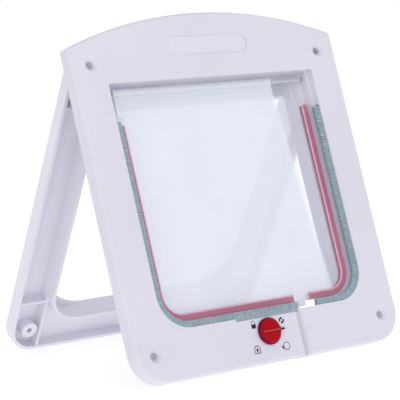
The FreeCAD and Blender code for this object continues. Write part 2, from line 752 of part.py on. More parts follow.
def make_edge_strips():
    long_strip = new_body("edge_strip_long")
    add(long_strip, "long_channel", corners(left_band(*STRIP_SHAPE, LEFT_STRIP_TOP, d.tab_left)),
        STRIP_FRONT, STRIP_BACK)
    seat = (PANEL_HALF, PANEL_LOW, PANEL_ROUND, d.strip_width)
    long_seat = left_band(*seat, LEFT_STRIP_TOP + d.panel_thick, d.tab_left + d.panel_thick)
    cut(long_strip, "long_groove", corners(long_seat), PANEL_FRONT, PANEL_BACK)
    short_strip = new_body("edge_strip_short")
    add(short_strip, "short_channel", corners(right_band(*STRIP_SHAPE, RIGHT_STRIP_TOP, d.tab_right)),
        STRIP_FRONT, STRIP_BACK)
    short_seat = right_band(*seat, RIGHT_STRIP_TOP + d.panel_thick, d.tab_right - d.panel_thick)
    cut(short_strip, "short_groove", corners(short_seat), PANEL_FRONT, PANEL_BACK)


# Flap
def magnet_box(low, high):
    return box_corners(MAGNET_X - d.magnet_length / 2, MAGNET_X + d.magnet_length / 2, low, high)


def make_flap():
    body = new_body("flap_panel")
    sheet_corners = well_corners(PANEL_HALF, PANEL_LOW, HINGE_LEVEL, PANEL_ROUND)
    add(body, "pane", corners(sheet_corners), PANEL_FRONT, PANEL_BACK)
    bar = box_corners(-PANEL_HALF, PANEL_HALF, HINGE_LEVEL - d.top_bar_drop, HINGE_LEVEL)
    add(body, "top_bar", corners(bar), FLAP_DEPTH - d.top_bar_thick / 2, FLAP_DEPTH + d.top_bar_thick / 2)
    ear_high = HINGE_LEVEL - d.ear_drop
    for name, side in (("left", -1), ("right", 1)):
        span = sorted_pair(PANEL_HALF * side, (PANEL_HALF - d.ear_width) * side)
        add(body, name + "_ear", corners(box_corners(*span, ear_high - d.ear_height, ear_high, d.ear_round)),
            FLAP_DEPTH - d.ear_thick / 2, FLAP_DEPTH + d.ear_thick / 2)
    tab = box_corners(d.tab_left, d.tab_right, FLAP_LOW, TAB_HIGH)
    add(body, "tab", corners(tab), TAB_FRONT, TAB_BACK)
    nose = box_corners(d.nose_left, d.nose_right, FLAP_LOW - d.nose_drop, TAB_HIGH)
    add(body, "nose", corners(nose), TAB_FRONT, TAB_BACK)
    add_across(body, "barrel", circles((FLAP_DEPTH, HINGE_LEVEL, d.barrel_radius)), PANEL_HALF)
    cut_across(body, "barrel_bore", circles((FLAP_DEPTH, HINGE_LEVEL, d.rod_radius + d.rod_running)),
               PANEL_HALF)
    cut(body, "magnet_pocket", corners(magnet_box(PANEL_LOW - d.strip_base, PANEL_LOW + d.magnet_height)),
        PANEL_FRONT, PANEL_BACK)
    magnet = new_body("flap_magnet")
    add(magnet, "flap_magnet_bar", corners(magnet_box(PANEL_LOW, PANEL_LOW + d.magnet_height)),
        PANEL_FRONT, PANEL_BACK)
    return body


def make_hinge():
    rod = new_body("hinge_rod")
    add_across(rod, "rod", circles((FLAP_DEPTH, HINGE_LEVEL, d.rod_radius)), TUNNEL_OUT + d.rod_stand_out)
    for name, side in (("left", -1), ("right", 1)):
        cap = new_body("hinge_cap_" + name)
        near = TUNNEL_OUT * side
        sketch = across(cap, name + "_cap_outline", circles((FLAP_DEPTH, HINGE_LEVEL, d.cap_radius)))
        sketch.AttachmentOffset = FreeCAD.Placement(FreeCAD.Vector(0, 0, near.value), FreeCAD.Rotation())
        bind(sketch, "AttachmentOffset.Base.z", near)
        pad = cap.newObject("PartDesign::Pad", name + "_cap")
        pad.Profile = sketch
        pad.Reversed = side < 0
        bind(pad, "Length", d.cap_length)
        doc.recompute()
        cut_across(cap, name + "_cap_bore", circles((FLAP_DEPTH, HINGE_LEVEL, d.rod_radius)),
                   TUNNEL_OUT + d.rod_stand_out)


def make_frame_magnet():
    body = new_body("frame_magnet")
    add(body, "frame_magnet_bar", corners(magnet_box(TUNNEL_UNDER - d.magnet_height, TUNNEL_UNDER)),
        FLAP_DEPTH - d.magnet_thick / 2, FLAP_DEPTH + d.magnet_thick / 2)


# Shape of the gear teeth: flank slope of the rack, and half widths of a pinion tooth
# at its root and tip as shares of its half width on the pitch circle
RACK_SLOPE = math.tan(math.radians(20))
ROOT_SPREAD = 1.25
TIP_SPREAD = 0.5
FULL_TURN = 360
# First tooth of the rack, in pitches to the right of the knob: half way between two pinion teeth
FIRST_TOOTH = 2.5


# Lock: knob and pinion on one axis, the rack bar with its catch fingers above them
def knob_circle(radius):
    return circles((KNOB_X, KNOB_LEVEL, radius))


def knob_box(half_wide, half_high, start=None):
    left = KNOB_X - half_wide if start is None else KNOB_X + start
    return corners(box_corners(left, KNOB_X + half_wide, KNOB_LEVEL - half_high, KNOB_LEVEL + half_high))


def make_knob():
    body = new_body("lock_knob")
    front = -(d.knob_clearance + d.knob_height)
    disc = add(body, "disc", knob_circle(d.knob_radius), front, -d.knob_clearance)
    bevel_edges(body, "disc_bevel", disc, edge_in_plane(1, front.value), d.knob_edge)
    crest = front - d.grip_rise
    bar = knob_box(d.knob_radius - d.knob_edge, d.grip_width / 2)
    grip = add(body, "grip", bar, crest, front + d.knob_edge)
    bevel_edges(body, "grip_bevel", grip, edge_in_plane(1, crest.value), d.grip_edge)
    nib = knob_box(d.knob_radius + d.nib_length, d.nib_width / 2, d.knob_radius - d.nib_length)
    add(body, "pointer", nib, front + d.knob_edge, -d.knob_clearance)
    add(body, "journal", knob_circle(d.journal_radius), -d.knob_clearance, GEAR_FRONT)
    add(body, "drive", knob_box(d.drive_square / 2, d.drive_square / 2), GEAR_FRONT, GEAR_BACK)
    cut(body, "screw_hole", knob_circle(d.pin_screw_radius), GEAR_BACK - d.pin_screw_length, GEAR_BACK)


def gear_point(radius, angle):
    """A point of the pinion at an angle in degrees from straight up, seen from its own centre."""
    angle = as_size(angle)
    return (radius * sine(angle), radius * cosine(angle))


def make_pinion():
    body = new_body("lock_pinion")
    centre = (KNOB_X, KNOB_LEVEL)
    inner = PITCH_RADIUS - d.gear_module * d.gear_dedendum
    outer = PITCH_RADIUS + d.gear_module * d.gear_addendum
    add(body, "pinion_core", circles((ZERO, ZERO, inner)), GEAR_FRONT, GEAR_BACK, centre)
    half_pitch = as_size(90) / d.gear_teeth
    slack = d.gear_backlash / PITCH_RADIUS * (90 / math.pi)
    root_angle = half_pitch * ROOT_SPREAD - slack
    pitch_angle = half_pitch - slack
    tip_angle = half_pitch * TIP_SPREAD - slack / 2
    sunk = inner - d.gear_module / 2
    points = [gear_point(sunk, -root_angle), gear_point(sunk, root_angle), gear_point(inner, root_angle),
              gear_point(PITCH_RADIUS, pitch_angle), gear_point(outer, tip_angle),
              gear_point(outer, -tip_angle), gear_point(PITCH_RADIUS, -pitch_angle),
              gear_point(inner, -root_angle)]
    tooth = add(body, "pinion_tooth", lambda sketch: draw_points(sketch, points),
                GEAR_FRONT, GEAR_BACK, centre)
    ring = body.newObject("PartDesign::PolarPattern", "pinion_teeth")
    ring.Originals = [tooth]
    ring.Axis = (body.getObject("pinion_core_outline"), ["N_Axis"])
    ring.Angle = FULL_TURN
    bind(ring, "Occurrences", d.gear_teeth)
    body.Tip = ring
    doc.recompute()
    half = d.drive_square / 2 + d.drive_running
    cut(body, "pinion_bore", knob_box(half, half), GEAR_FRONT, GEAR_BACK)


def make_pinion_screw():
    body = new_body("pinion_screw")
    add(body, "pin_head", knob_circle(d.pin_head_radius), GEAR_BACK, GEAR_BACK + d.pin_head_height)
    add(body, "pin_shank", knob_circle(d.pin_screw_radius), GEAR_BACK - d.pin_screw_length, GEAR_BACK)


def make_slider():
    body = new_body("lock_slider")
    second_left = d.second_finger_right - d.second_finger_length
    bar = box_corners(-d.bar_left, d.first_finger_right, RACK_ROOT, BAR_TOP)
    add(body, "rack_bar", corners(bar), GEAR_FRONT, GEAR_BACK)
    foot = box_corners(second_left, d.first_finger_right, RACK_ROOT, BAR_TOP)
    add(body, "web_foot", corners(foot), GEAR_FRONT, WEB_BACK)
    web = box_corners(second_left, d.first_finger_right, RACK_ROOT, PLATE_HIGH)
    add(body, "web", corners(web), WEB_FRONT, WEB_BACK)
    finger_high = d.lip_low + d.finger_height
    front = TAB_FRONT - d.finger_gap
    rear = TAB_BACK + d.finger_gap
    plate = box_corners(second_left, d.first_finger_right, PLATE_LOW, PLATE_HIGH)
    add(body, "plate", corners(plate), front - d.finger_thick, rear + d.rear_finger_thick)
    firsts = [box_corners(d.first_finger_right - d.first_finger_length, d.first_finger_right,
                          PLATE_LOW, finger_high),
              box_corners(second_left, d.second_finger_right, PLATE_LOW, finger_high)]
    add(body, "front_fingers", outlines(*firsts), front - d.finger_thick, front)
    behind = box_corners(d.rear_finger_right - d.rear_finger_length, d.rear_finger_right,
                         PLATE_LOW, finger_high)
    add(body, "rear_finger", corners(behind), rear, rear + d.rear_finger_thick)
    pitch = d.gear_module * math.pi
    middle = KNOB_X + pitch * FIRST_TOOTH
    half = pitch / 4 - d.gear_backlash / 2
    tip = half - d.gear_module * d.gear_addendum * RACK_SLOPE
    base = half + d.gear_module * d.gear_dedendum * RACK_SLOPE
    low = PITCH_LEVEL - d.gear_module * d.gear_addendum
    points = [(middle - tip, low), (middle + tip, low), (middle + base, RACK_ROOT),
              (middle + base, RACK_ROOT + d.slide_gap), (middle - base, RACK_ROOT + d.slide_gap),
              (middle - base, RACK_ROOT)]
    tooth = add(body, "rack_tooth", lambda sketch: draw_points(sketch, points), GEAR_FRONT, GEAR_BACK)
    row = body.newObject("PartDesign::LinearPattern", "rack_row")
    row.Originals = [tooth]
    row.Direction = (body.getObject("rack_tooth_outline"), ["H_Axis"])
    row.Reversed = True
    bind(row, "Length", pitch * (d.rack_teeth - 1))
    bind(row, "Occurrences", d.rack_teeth)
    body.Tip = row
    doc.recompute()


def make_cover():
    body = new_body("lock_cover")
    plate = box_corners(-d.cover_left, d.cover_right, KNOB_LEVEL - d.cover_drop, COVER_HIGH, d.cover_round)
    add(body, "cover_plate", corners(plate), COVER_FRONT, COVER_BACK)
    rail = box_corners(-d.cover_left + d.cover_round, d.second_post_place, COVER_HIGH - d.cover_rib,
                       COVER_HIGH)
    add(body, "cover_rail", corners(rail), GEAR_BACK + d.slide_gap, COVER_FRONT)
    cut(body, "cover_holes", circles(*[(x, z, d.cover_screw_radius) for x, z in COVER_BOSSES]),
        COVER_FRONT, COVER_BACK)
    screws = new_body("cover_screws")
    screws.AllowCompound = True
    add(screws, "cover_heads", circles(*[(x, z, d.cover_head_radius) for x, z in COVER_BOSSES]),
        COVER_BACK, COVER_BACK + d.cover_head_height)
    add(screws, "cover_shanks", circles(*[(x, z, d.cover_screw_radius) for x, z in COVER_BOSSES]),
        COVER_BACK - d.cover_screw_length, COVER_BACK)


# Standing place of each frame: the tunnel's upper end rests against the outer frame
def lean_depth():
    """How far behind the front foot the outer frame's foot stands."""
    front, rear = d.front_tilt, d.rear_tilt
    depth = TUNNEL_TOP * sine(front) + d.tunnel_end * cosine(front)
    height = TUNNEL_TOP * cosine(front) - d.tunnel_end * sine(front)
    lift = d.tray_depth * (sine(rear) - sine(front))
    return depth + (d.tray_depth + d.lean_gap + (height - lift) * sine(rear)) / cosine(rear)


def place(body, x, y, z, tilt):
    body.Placement = FreeCAD.Placement(
        FreeCAD.Vector(x.value, y.value, z.value),
        FreeCAD.Rotation(FreeCAD.Vector(1, 0, 0), tilt.value))
    for axis, amount in (("x", x), ("y", y), ("z", z)):
        bind(body, f"Placement.Base.{axis}", amount)


make_inner_frame()
make_brushes()
make_flap()
make_edge_strips()
make_hinge()
make_frame_magnet()
make_knob()
make_pinion()
make_pinion_screw()
make_slider()
make_cover()
make_outer_frame()

DEPTH = lean_depth()
front_inset = d.edge_bevel * sine(d.front_tilt)
rear_inset = d.edge_bevel * sine(d.rear_tilt)
MIDDLE = (front_inset + DEPTH - rear_inset) / 2
FLOOR = d.tray_depth * sine(d.front_tilt)
LIFT = d.tray_depth * sine(d.rear_tilt)
for body in bodies:
    if body.Label == "outer_frame":
        place(body, d.rear_shift / 2, DEPTH - MIDDLE, LIFT, d.rear_tilt)
    else:
        place(body, -d.rear_shift / 2, -MIDDLE, FLOOR, -d.front_tilt)
doc.recompute()

for thing in doc.Objects:
    if "Invalid" in thing.State or "Error" in thing.State:
        raise RuntimeError(f"{thing.Name} failed: {thing.State}")
os.makedirs("parts", exist_ok=True)
for body in bodies:
    if body.Shape.isNull() or not body.Shape.isValid():
        raise RuntimeError(body.Label + " is not a valid solid")
    body.Shape.exportStep(f"parts/{body.Label}.step")
    print(body.Label, len(body.Shape.Solids), round(body.Shape.Volume, 1))
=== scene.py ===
import json
import math
import random

import bmesh
import bpy
from mathutils import Matrix, Vector


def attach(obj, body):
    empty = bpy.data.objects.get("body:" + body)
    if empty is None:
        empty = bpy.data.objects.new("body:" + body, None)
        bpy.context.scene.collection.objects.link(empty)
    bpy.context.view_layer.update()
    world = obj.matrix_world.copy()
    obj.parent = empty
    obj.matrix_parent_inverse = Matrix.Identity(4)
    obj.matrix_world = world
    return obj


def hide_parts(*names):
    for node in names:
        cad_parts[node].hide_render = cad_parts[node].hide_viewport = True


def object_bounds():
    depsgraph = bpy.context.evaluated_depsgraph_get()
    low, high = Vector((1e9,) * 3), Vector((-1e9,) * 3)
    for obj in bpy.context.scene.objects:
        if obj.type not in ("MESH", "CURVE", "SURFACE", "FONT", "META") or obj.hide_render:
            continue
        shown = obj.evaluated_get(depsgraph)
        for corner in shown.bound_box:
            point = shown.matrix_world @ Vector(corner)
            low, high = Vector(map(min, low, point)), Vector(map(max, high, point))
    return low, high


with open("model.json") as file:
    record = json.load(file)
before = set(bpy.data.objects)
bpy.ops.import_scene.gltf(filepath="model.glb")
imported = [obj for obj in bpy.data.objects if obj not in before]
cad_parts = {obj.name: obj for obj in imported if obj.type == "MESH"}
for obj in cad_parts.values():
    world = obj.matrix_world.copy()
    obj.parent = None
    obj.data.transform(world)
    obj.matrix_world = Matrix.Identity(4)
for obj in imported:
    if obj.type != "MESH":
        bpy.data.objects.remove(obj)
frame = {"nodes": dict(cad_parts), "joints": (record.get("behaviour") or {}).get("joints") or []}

# Cat flap: the looks of its two white frames, see-through flap, crimson edge strip, teal
# brush, red lock knob and printed signs. Places on the inner frame are given in its own
# face plane, in millimetres: x to the right, n behind the face, v up the face.

MM = 0.001
CAD_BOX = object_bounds()
NODES = frame["nodes"]
JOINTS = {joint["name"]: joint for joint in frame["joints"]}

# The face plane of the inner frame, from the knob's joint
KNOB_X, KNOB_V = -3.4, 18.3
RIGHT = Vector((1.0, 0.0, 0.0))
OUT = Vector(JOINTS["knob_turn"]["axis"]).normalized()
UP = RIGHT.cross(-OUT)
KNOB_ORIGIN = Vector(JOINTS["knob_turn"]["pos_m"])


def at(x, n, v):
    """The point at x, n and v of the inner frame's face plane, in metres."""
    return KNOB_ORIGIN + (RIGHT * (x - KNOB_X) - OUT * n + UP * (v - KNOB_V)) * MM


FACE_ORIGIN = at(0.0, 0.0, 0.0)

# Camera of the photograph, fitted to the object's outline
CAMERA_TARGET = Vector((-0.02841, -0.04888, 0.09811))
CAMERA_AZIMUTH = -36.02
CAMERA_ELEVATION = 5.51
CAMERA_ROLL = -3.10
CAMERA_DISTANCE = 1.01205
CLIP_START, CLIP_END = 0.01, 20.0
FOCAL_PIXELS = 1707.1
IMAGE_PIXELS = 400
SENSOR = 36.0


def make_camera():
    azimuth, elevation, roll = (math.radians(a) for a in (CAMERA_AZIMUTH, CAMERA_ELEVATION, CAMERA_ROLL))
    look = Vector((-math.sin(azimuth) * math.cos(elevation),
                   math.cos(azimuth) * math.cos(elevation), -math.sin(elevation)))
    level = Vector((math.cos(azimuth), math.sin(azimuth), 0.0))
    above = level.cross(look)
    right = level * math.cos(roll) + above * math.sin(roll)
    up = above * math.cos(roll) - level * math.sin(roll)
    camera = bpy.data.objects.new("camera", bpy.data.cameras.new("camera"))
    bpy.context.collection.objects.link(camera)
    camera.data.sensor_width = SENSOR
    camera.data.lens = FOCAL_PIXELS * SENSOR / IMAGE_PIXELS
    camera.data.clip_start = CLIP_START
    camera.data.clip_end = CLIP_END
    turn = Matrix((right, up, -look)).transposed().to_4x4()
    camera.matrix_world = Matrix.Translation(CAMERA_TARGET - look * CAMERA_DISTANCE) @ turn
    bpy.context.scene.camera = camera


# Noise patterns of the materials, each as features per metre and detail
DRIFT = (14.0, 2.0)
GLOSS = (60.0, 4.0)
GRAIN = (900.0, 2.0)
CLOUDS = (30.0, 2.0)
CRYSTALS = (400.0, 3.0)
TUFTS = (700.0, 2.0)
PATCHES = (60.0, 2.0)
NOISE_LOW, NOISE_HIGH = 0.3, 0.7

# The grain's depth in metres and its strength from 0 to 1
GRAIN_DEPTH, GRAIN_STRENGTH = 0.00002, 0.25

# How far red, green and blue light soak into soft plastic, in metres
SOFT_REACH = (0.004, 0.004, 0.005)

# The most that the pile's stronger tint takes over in its patches
PATCH_SHARE = 0.8

# The flap's clear border, from a line that leans a little to the left as it goes up
BORDER_DIRECTION = RIGHT + UP * 0.087
BORDER_START, BORDER_END = 60.79, 62.39

# The knob's red deepens from its flat face to its rim, in millimetres from its axis
KNOB_FACE_RADIUS, KNOB_RIM_RADIUS = 6.6, 7.8


def new_material(name):
    material = bpy.data.materials.new(name)
    material.use_nodes = True
    tree = material.node_tree
    return material, tree, tree.nodes["Principled BSDF"]


def part_place(tree):
    """The place of each point in the part's own coordinates."""
    return tree.nodes.new("ShaderNodeTexCoord").outputs["Object"]


def noise(tree, pattern):
    texture = tree.nodes.new("ShaderNodeTexNoise")
    texture.inputs["Scale"].default_value = pattern[0]
    texture.inputs["Detail"].default_value = pattern[1]
    tree.links.new(part_place(tree), texture.inputs["Vector"])
    return texture.outputs["Fac"]


def ramp(tree, source, low, high, first, last):
    """Colours from first to last as the source goes from low to high."""
    node = tree.nodes.new("ShaderNodeValToRGB")
    node.color_ramp.elements[0].position = low
    node.color_ramp.elements[1].position = high
    node.color_ramp.elements[0].color = (*first, 1.0)
    node.color_ramp.elements[1].color = (*last, 1.0)
    tree.links.new(source, node.inputs["Fac"])
    return node.outputs["Color"]


def mottle(tree, source, light, dark):
    """Colours from dark to light over the middle of a noise's range."""
    return ramp(tree, source, NOISE_LOW, NOISE_HIGH, dark, light)


def span(tree, source, low, high):
    """The source's 0 to 1 stretched to low to high."""
    node = tree.nodes.new("ShaderNodeMapRange")
    node.inputs["To Min"].default_value = low
    node.inputs["To Max"].default_value = high
    tree.links.new(source, node.inputs["Value"])
    return node.outputs["Result"]


def share(tree, source, start, end):
    """How far the source has come from start to end, as 0 to 1."""
    node = tree.nodes.new("ShaderNodeMapRange")
    node.inputs["From Min"].default_value = start
    node.inputs["From Max"].default_value = end
    tree.links.new(source, node.inputs["Value"])
    return node.outputs["Result"]


def vector_math(tree, operation, source, value, result):
    """One of a vector node's results, for the source and a fixed vector."""
    node = tree.nodes.new("ShaderNodeVectorMath")
    node.operation = operation
    node.inputs[1].default_value = value
    tree.links.new(source, node.inputs[0])
    return node.outputs[result]


def reach(tree, direction, start, end):
    """How far a point is from start to end along a direction from the face's origin, as 0 to 1."""
    along = vector_math(tree, "DOT_PRODUCT", part_place(tree), direction, "Value")
    origin = FACE_ORIGIN.dot(direction)
    return share(tree, along, origin + start * MM, origin + end * MM)


def blend_colours(tree, amount, first, second, kind="MIX"):
    """Goes over from a linked colour to a fixed one as the amount goes from 0 to 1."""
    node = tree.nodes.new("ShaderNodeMix")
    node.data_type = "RGBA"
    node.blend_type = kind
    tree.links.new(amount, node.inputs["Factor"])
    tree.links.new(first, node.inputs["A"])
    node.inputs["B"].default_value = (*second, 1.0)
    return node.outputs["Result"]


def paint_shade_and_light_where(material, stretches, tone):
    """Paints shade or light into a material's colour by multiplying it by a tone where all of its stretches
    are at their end.

    Each stretch is (direction, start, end), and the tone comes in smoothly along it; a tone below 1 paints
    shade, one above 1 paints light."""
    tree = material.node_tree
    colour = tree.nodes["Principled BSDF"].inputs["Base Color"]
    amount = reach(tree, *stretches[0])
    for stretch in stretches[1:]:
        both = tree.nodes.new("ShaderNodeMath")
        both.operation = "MULTIPLY"
        tree.links.new(amount, both.inputs[0])
        tree.links.new(reach(tree, *stretch), both.inputs[1])
        amount = both.outputs[0]
    tree.links.new(blend_colours(tree, amount, colour.links[0].from_socket, tone, "MULTIPLY"), colour)


def moulded(name, light, dark, rough=(0.28, 0.42), shine=0.45, softness=0.0):
    """Moulded plastic or ink: a slow drift of tone, a fine grain and an uneven gloss."""
    material, tree, shader = new_material(name)
    tree.links.new(mottle(tree, noise(tree, DRIFT), light, dark), shader.inputs["Base Color"])
    tree.links.new(span(tree, noise(tree, GLOSS), *rough), shader.inputs["Roughness"])
    shader.inputs["Specular IOR Level"].default_value = shine
    grain = tree.nodes.new("ShaderNodeBump")
    grain.inputs["Strength"].default_value = GRAIN_STRENGTH
    grain.inputs["Distance"].default_value = GRAIN_DEPTH
    tree.links.new(noise(tree, GRAIN), grain.inputs["Height"])
    tree.links.new(grain.outputs["Normal"], shader.inputs["Normal"])
    if softness:
        shader.inputs["Subsurface Weight"].default_value = softness
        shader.inputs["Subsurface Radius"].default_value = SOFT_REACH
        shader.inputs["Subsurface Scale"].default_value = 1.0
    return material


def knob_gloss(name, face, rim, rough, shine):
    """Glossy knob plastic whose tone deepens from its face to its rim."""
    material, tree, shader = new_material(name)
    arm = vector_math(tree, "SUBTRACT", part_place(tree), KNOB_ORIGIN, "Vector")
    across = vector_math(tree, "CROSS_PRODUCT", arm, OUT, "Vector")
    away = tree.nodes.new("ShaderNodeVectorMath")
    away.operation = "LENGTH"
    tree.links.new(across, away.inputs[0])
    outward = share(tree, away.outputs["Value"], KNOB_FACE_RADIUS * MM, KNOB_RIM_RADIUS * MM)
    tree.links.new(ramp(tree, outward, 0.0, 1.0, face, rim), shader.inputs["Base Color"])
    tree.links.new(span(tree, noise(tree, GLOSS), *rough), shader.inputs["Roughness"])
    shader.inputs["Specular IOR Level"].default_value = shine
    return material


def metal(name, light, dark, rough):
    """Plated metal with a fine crystal pattern in its tone and gloss."""
    material, tree, shader = new_material(name)
    crystals = noise(tree, CRYSTALS)
    tree.links.new(mottle(tree, crystals, light, dark), shader.inputs["Base Color"])
    tree.links.new(span(tree, crystals, *rough), shader.inputs["Roughness"])
    shader.inputs["Metallic"].default_value = 1.0
    return material


def clear(name, light, dark, haze, border, rough, shine):
    """See-through plastic sheet: haze is its opacity inside, and border that along its right edge."""
    material, tree, shader = new_material(name)
    clouds = noise(tree, CLOUDS)
    tree.links.new(mottle(tree, clouds, light, dark), shader.inputs["Base Color"])
    tree.links.new(span(tree, clouds, *rough), shader.inputs["Roughness"])
    shader.inputs["Specular IOR Level"].default_value = shine
    edge = reach(tree, BORDER_DIRECTION, BORDER_START, BORDER_END)
    tree.links.new(span(tree, edge, haze, border), shader.inputs["Alpha"])
    return material


def fibre(name, light, dark, tint, rough, sheen):
    """Matt bristle pile: the tone changes from tuft to tuft, with patches of a stronger tint."""
    material, tree, shader = new_material(name)
    tone = mottle(tree, noise(tree, TUFTS), light, dark)
    patches = span(tree, noise(tree, PATCHES), 0.0, PATCH_SHARE)
    tree.links.new(blend_colours(tree, patches, tone, tint), shader.inputs["Base Color"])
    shader.inputs["Roughness"].default_value = rough
    shader.inputs["Sheen Weight"].default_value = sheen
    shader.inputs["Sheen Roughness"].default_value = 0.5
    return material


WHITE = moulded("white_plastic", (0.745, 0.73, 0.815), (0.71, 0.695, 0.78), softness=0.08)
# Painted light: the outer frame is of the same white plastic as the inner frame, given a lighter colour that
# stands in for light on its shaded inner side
REAR_WHITE_PAINTED_LIGHT = moulded("rear_white_plastic_painted_light", (0.82, 0.80, 0.885), (0.785, 0.765, 0.85), softness=0.08)
LOCK_WHITE = moulded("lock_plastic", (0.76, 0.76, 0.79), (0.72, 0.72, 0.75))
RED = knob_gloss("red_plastic", (0.41, 0.0, 0.006), (0.15, 0.0, 0.03), rough=(0.25, 0.4), shine=0.12)
# Painted highlight: a lighter red for the crest of the knob's grip, standing in for the light on its top edge
CREST_PAINTED_HIGHLIGHT = moulded("crest_painted_highlight", (0.66, 0.10, 0.06), (0.60, 0.08, 0.05), rough=(0.3, 0.4), shine=0.2)
DEEP_RED = moulded("dark_red_print", (0.10, 0.0, 0.04), (0.08, 0.0, 0.03), rough=(0.4, 0.5), shine=0.1)
CRIMSON = moulded("crimson_strip", (0.60, 0.21, 0.31), (0.50, 0.16, 0.24), rough=(0.35, 0.5))
# Painted highlight: a pale pink for the bead along the crimson strip's inner edge, standing in for the light
# that edge catches
PINK_PAINTED_HIGHLIGHT = moulded("pink_bead_painted_highlight", (0.80, 0.46, 0.60), (0.72, 0.40, 0.52), rough=(0.25, 0.4))
TEAL = fibre("teal_pile", (0.50, 0.58, 0.66), (0.34, 0.43, 0.50), (0.28, 0.46, 0.50), rough=0.8, sheen=0.3)
CLEAR = clear("clear_plastic", (0.88, 0.90, 0.99), (0.85, 0.87, 0.96),
              haze=0.68, border=0.22, rough=(0.096, 0.24), shine=0.3)
STEEL = metal("zinc_steel", (0.62, 0.62, 0.64), (0.496, 0.496, 0.512), rough=(0.256, 0.416))
FERRITE = moulded("ferrite", (0.06, 0.06, 0.065), (0.04, 0.04, 0.045), rough=(0.5, 0.7))
INK = moulded("black_ink", (0.03, 0.02, 0.045), (0.02, 0.01, 0.03), rough=(0.4, 0.55), shine=0.2)
GREY_INK = moulded("grey_ink", (0.33, 0.31, 0.38), (0.28, 0.26, 0.33), rough=(0.4, 0.55))

# Painted shade: the deep walls of the tunnel are darkened in colour for the soft shade they lie in
paint_shade_and_light_where(WHITE, [(-OUT, 10.0, 24.0)], (0.74, 0.73, 0.78))

# Painted shade: the foot of the ramp beside the knob is darkened too, over its width and below its upper end
paint_shade_and_light_where(WHITE, [(RIGHT, 19.2, 20.2), (RIGHT, 24.6, 21.4), (UP, 29.3, 25.3)], (0.80, 0.77, 0.81))

# Painted light: the shallow recess in the arch is lightened in colour, as it catches a little more light than
# the face around it
paint_shade_and_light_where(WHITE, [(RIGHT, -30.5, -25.5), (RIGHT, 30.5, 25.5), (UP, 189.2, 190.0), (UP, 201.2, 200.4)],
           (1.04, 1.04, 1.035))

FINISH = {
    "inner_frame": WHITE, "outer_frame": REAR_WHITE_PAINTED_LIGHT, "hinge_cap_left": WHITE, "hinge_cap_right": WHITE,
    "hinge_rod": STEEL, "lock_cover": LOCK_WHITE, "cover_screws": STEEL, "frame_magnet": FERRITE,
    "flap_magnet": FERRITE, "flap_panel": CLEAR, "edge_strip_long": CRIMSON, "edge_strip_short": CRIMSON,
    "lock_knob": RED, "lock_pinion": LOCK_WHITE, "pinion_screw": STEEL, "lock_slider": LOCK_WHITE,
    "brush_strip_long": TEAL, "brush_strip_short": TEAL,
}
for node, material in FINISH.items():
    materials = NODES[node].data.materials
    materials.clear()
    materials.append(material)


# Mesh helpers
def join_rings(form, rings):
    """The sides between one ring of vertices and the next, closed at both ends."""
    count = len(rings[0])
    for first, second in zip(rings, rings[1:]):
        for i in range(count):
            j = (i + 1) % count
            form.faces.new((first[i], first[j], second[j], second[i]))
    form.faces.new(rings[0][::-1])
    form.faces.new(rings[-1])


def new_piece(name, form, material, body, smooth=False):
    """Makes a finished form a piece that moves with a body of the part."""
    bmesh.ops.recalc_face_normals(form, faces=form.faces)
    for face in form.faces:
        face.smooth = smooth
    mesh = bpy.data.meshes.new(name)
    form.to_mesh(mesh)
    form.free()
    mesh.materials.append(material)
    piece = bpy.data.objects.new(name, mesh)
    bpy.context.collection.objects.link(piece)
    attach(piece, body)
    return piece


# Fewest steps of a path on a straight stretch and round a corner
FEWEST_STRAIGHT, FEWEST_ROUND = 2, 6


def band_path(half, low, rounding, top, end, side, step):
    """Stations along one upright side, the round corner and the bottom, from the top down.

    Each is (x, v, outward x, outward v); side is -1 for the left and 1 for the right."""
    stations = []
    upright = top - (low + rounding)
    count = max(FEWEST_STRAIGHT, round(upright / step))
    for i in range(count):
        stations.append((side * half, top - upright * i / count, side, 0.0))
    count = max(FEWEST_ROUND, round(rounding * math.pi / 2 / step))
    for i in range(count):
        angle = math.pi / 2 * i / count
        across, down = math.cos(angle), -math.sin(angle)
        stations.append((side * (half - rounding + rounding * across), low + rounding + rounding * down,
                         side * across, down))
    start = side * (half - rounding)
    count = max(FEWEST_STRAIGHT, round(abs(end - start) / step))
    for i in range(count + 1):
        stations.append((start + (end - start) * i / count, low, 0.0, -1.0))
    return stations


def sweep(form, stations, section):
    """A closed bar along the stations; section points are (outward offset, n)."""
    rings = []
    for x, v, across, down in stations:
        rings.append([form.verts.new(at(x + across * offset, n, v + down * offset)) for offset, n in section])
    join_rings(form, rings)


# Step between the stations of a plain bar
BAR_STEP = 2.0

# Brush strips: a backing bar in the channel and rows of bristle tufts
CHANNEL_HALF, CHANNEL_LOW, CHANNEL_ROUND = 78.2, 26.3, 22.7
CHANNEL_FRONT, CHANNEL_BACK = 1.25, 4.15
BACKING = 1.2
PILE = 5.2
TUFT_STEP = 0.62
TUFT_ROWS = 5
TUFT_WIDE = 0.52
TUFT_TIP = 0.34
TUFT_SUNK = 0.1

# How far a tuft may stray from its place and direction, and how much shorter it may be
ROOT_STRAY, TIP_STRAY = 0.08, 0.1
SLIDE_STRAY, LEAN_STRAY = 0.12, 0.25
SHORTEST_BY = 0.45


def channel_path(inset, top, end, side, step):
    """Stations along the channel's outer wall, or an inset inside it."""
    return band_path(CHANNEL_HALF - inset, CHANNEL_LOW + inset, CHANNEL_ROUND - inset, top, end, side, step)


def tuft_ring(form, centre, wide, along, deep):
    """The four corners of one end of a tuft."""
    return [form.verts.new(centre + along * a * (wide / 2) + deep * b * (wide / 2))
            for a, b in ((-1, -1), (1, -1), (1, 1), (-1, 1))]


